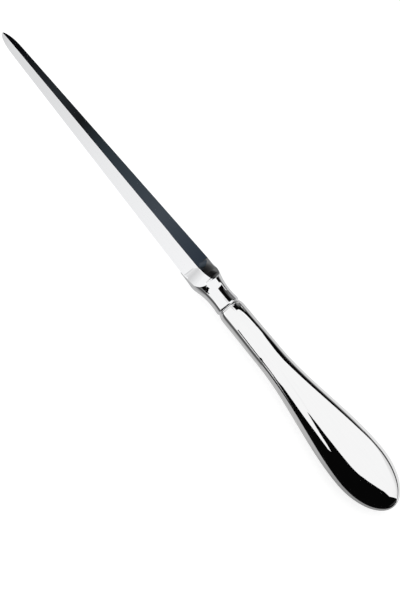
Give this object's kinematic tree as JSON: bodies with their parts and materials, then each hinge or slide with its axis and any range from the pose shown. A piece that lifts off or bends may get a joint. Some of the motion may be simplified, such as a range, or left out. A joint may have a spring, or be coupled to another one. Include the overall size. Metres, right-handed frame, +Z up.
{
  "type": "letter opener",
  "caption": "Letter opener with a ridged spear-point blade, a scooped shoulder on a round neck, a thin collar and a pear-shaped hollow metal handle, for slitting envelopes.",
  "frame": {"origin": "on the desk plane, below the middle of the opener's length", "axes": "+X from the blade's tip to the butt of the handle, +Y across the blade, +Z up from the desk, square to the flat of the blade"},
  "size_m": [0.23, 0.0223, 0.0128],
  "materials": {
    "blade_steel": "polished",
    "plated_collar": "polished",
    "plated_shell": "polished",
    "silver_braze": "polished",
    "set_cement": "matte"
  },
  "bodies": {
    "root": {"blade": "blade_steel", "mouth_collar": "plated_collar", "handle_front_shell": "plated_shell", "handle_back_shell": "plated_shell", "seam_braze": "silver_braze", "handle_filler": "set_cement"}
  },
  "joints": []
}
